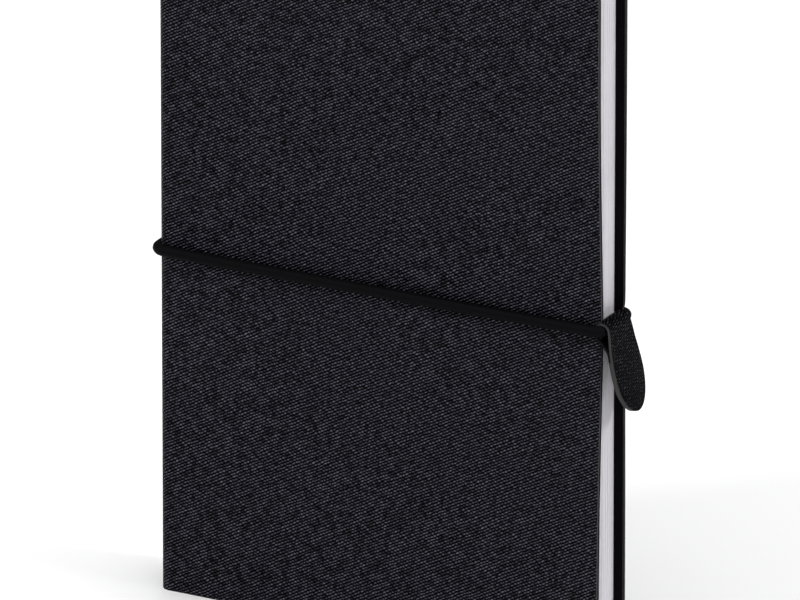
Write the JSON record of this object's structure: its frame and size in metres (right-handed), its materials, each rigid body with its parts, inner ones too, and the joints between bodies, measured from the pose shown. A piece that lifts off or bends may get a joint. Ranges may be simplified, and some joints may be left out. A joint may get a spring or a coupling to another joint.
{
  "type": "pocket notebook",
  "caption": "Soft-covered pocket notebook with sewn sections, held shut by a round elastic with a folded leather pull tab.",
  "frame": {"origin": "on the surface it stands on, under the middle of its footprint, the elastic and tab included", "axes": "+X from the spine to the fore edge, +Y from the front cover to the back cover, +Z from tail to head"},
  "size_m": [0.0975, 0.018, 0.14],
  "materials": {
    "cover_leather": "cross-grained imitation leather, satin",
    "tab_leather": "cross-grained imitation leather, satin, cut edges",
    "card": "matt",
    "endpaper": "smooth, matt",
    "page_paper": "uncoated",
    "thread": "waxed linen",
    "mull": "open weave, glued",
    "elastic": "braided cover over rubber",
    "ferrule": "crimped"
  },
  "bodies": {
    "back_cover": {"back_cover_skin": "cover_leather", "back_cover_card": "card", "back_cover_endpaper": "endpaper", "spine_skin": "cover_leather", "spine_mull": "mull"},
    "leaves_12": {"section_12": "page_paper", "thread_12": "thread", "back_flyleaf": "page_paper"},
    "leaves_11": {"section_11": "page_paper", "thread_11": "thread"},
    "leaves_10": {"section_10": "page_paper", "thread_10": "thread"},
    "leaves_09": {"section_09": "page_paper", "thread_09": "thread"},
    "leaves_08": {"section_08": "page_paper", "thread_08": "thread"},
    "leaves_07": {"section_07": "page_paper", "thread_07": "thread"},
    "leaves_06": {"section_06": "page_paper", "thread_06": "thread"},
    "leaves_05": {"section_05": "page_paper", "thread_05": "thread"},
    "leaves_04": {"section_04": "page_paper", "thread_04": "thread"},
    "leaves_03": {"section_03": "page_paper", "thread_03": "thread"},
    "leaves_02": {"section_02": "page_paper", "thread_02": "thread"},
    "leaves_01": {"section_01": "page_paper", "thread_01": "thread", "front_flyleaf": "page_paper"},
    "front_cover": {"front_cover_skin": "cover_leather", "front_cover_card": "card", "front_cover_endpaper": "endpaper"},
    "elastic": {"elastic_cord": "elastic", "cord_ferrule": "ferrule"},
    "tab": {"pull_tab": "tab_leather"}
  },
  "joints": [
    {"name": "front_cover_open", "type": "hinge", "parent": "leaves_01", "child": "front_cover", "pos_m": [-0.0434, -0.0065, 0.07], "axis": [0, 0, -1], "range_deg": [0, 60], "deforming": ["elastic_cord", "cord_ferrule", "pull_tab", "spine_skin", "spine_mull"]},
    {"name": "leaves_12_fan", "type": "hinge", "parent": "back_cover", "child": "leaves_12", "pos_m": [-0.0464, 0.0053, 0.07], "axis": [0, 0, -1], "range_deg": [0, 10]},
    {"name": "leaves_11_fan", "type": "hinge", "parent": "leaves_12", "child": "leaves_11", "pos_m": [-0.0464, 0.00426, 0.07], "axis": [0, 0, -1], "range_deg": [0, 10]},
    {"name": "leaves_10_fan", "type": "hinge", "parent": "leaves_11", "child": "leaves_10", "pos_m": [-0.0464, 0.00341, 0.07], "axis": [0, 0, -1], "range_deg": [0, 10]},
    {"name": "leaves_09_fan", "type": "hinge", "parent": "leaves_10", "child": "leaves_09", "pos_m": [-0.0464, 0.00255, 0.07], "axis": [0, 0, -1], "range_deg": [0, 10]},
    {"name": "leaves_08_fan", "type": "hinge", "parent": "leaves_09", "child": "leaves_08", "pos_m": [-0.0464, 0.00169, 0.07], "axis": [0, 0, -1], "range_deg": [0, 10]},
    {"name": "leaves_07_fan", "type": "hinge", "parent": "leaves_08", "child": "leaves_07", "pos_m": [-0.0464, 0.00084, 0.07], "axis": [0, 0, -1], "range_deg": [0, 10]},
    {"name": "leaves_06_fan", "type": "hinge", "parent": "leaves_07", "child": "leaves_06", "pos_m": [-0.0464, -0.00002, 0.07], "axis": [0, 0, -1], "range_deg": [0, 10]},
    {"name": "leaves_05_fan", "type": "hinge", "parent": "leaves_06", "child": "leaves_05", "pos_m": [-0.0464, -0.00087, 0.07], "axis": [0, 0, -1], "range_deg": [0, 10]},
    {"name": "leaves_04_fan", "type": "hinge", "parent": "leaves_05", "child": "leaves_04", "pos_m": [-0.0464, -0.00172, 0.07], "axis": [0, 0, -1], "range_deg": [0, 10]},
    {"name": "leaves_03_fan", "type": "hinge", "parent": "leaves_04", "child": "leaves_03", "pos_m": [-0.0464, -0.00258, 0.07], "axis": [0, 0, -1], "range_deg": [0, 10]},
    {"name": "leaves_02_fan", "type": "hinge", "parent": "leaves_03", "child": "leaves_02", "pos_m": [-0.0464, -0.00344, 0.07], "axis": [0, 0, -1], "range_deg": [0, 10]},
    {"name": "leaves_01_fan", "type": "hinge", "parent": "leaves_02", "child": "leaves_01", "pos_m": [-0.0464, -0.00429, 0.07], "axis": [0, 0, -1], "range_deg": [0, 10]},
    {"name": "elastic_off", "type": "slide", "parent": "back_cover", "child": "elastic", "axis": [0, 0, 1], "range_m": [0, 0.09], "deforming": ["elastic_cord"]},
    {"name": "tab_swing", "type": "hinge", "parent": "elastic", "child": "tab", "pos_m": [0.04379, 0, 0.0696], "axis": [0, -0.995, 0.0995], "range_deg": [-8, 140]}
  ],
  "couplings": [
    {"joint": "leaves_12_fan", "follows": "front_cover_open", "ratio": 0.16667},
    {"joint": "leaves_11_fan", "follows": "front_cover_open", "ratio": 0.16667},
    {"joint": "leaves_10_fan", "follows": "front_cover_open", "ratio": 0.16667},
    {"joint": "leaves_09_fan", "follows": "front_cover_open", "ratio": 0.16667},
    {"joint": "leaves_08_fan", "follows": "front_cover_open", "ratio": 0.16667},
    {"joint": "leaves_07_fan", "follows": "front_cover_open", "ratio": 0.16667},
    {"joint": "leaves_06_fan", "follows": "front_cover_open", "ratio": 0.16667},
    {"joint": "leaves_05_fan", "follows": "front_cover_open", "ratio": 0.16667},
    {"joint": "leaves_04_fan", "follows": "front_cover_open", "ratio": 0.16667},
    {"joint": "leaves_03_fan", "follows": "front_cover_open", "ratio": 0.16667},
    {"joint": "leaves_02_fan", "follows": "front_cover_open", "ratio": 0.16667},
    {"joint": "leaves_01_fan", "follows": "front_cover_open", "ratio": 0.16667}
  ]
}
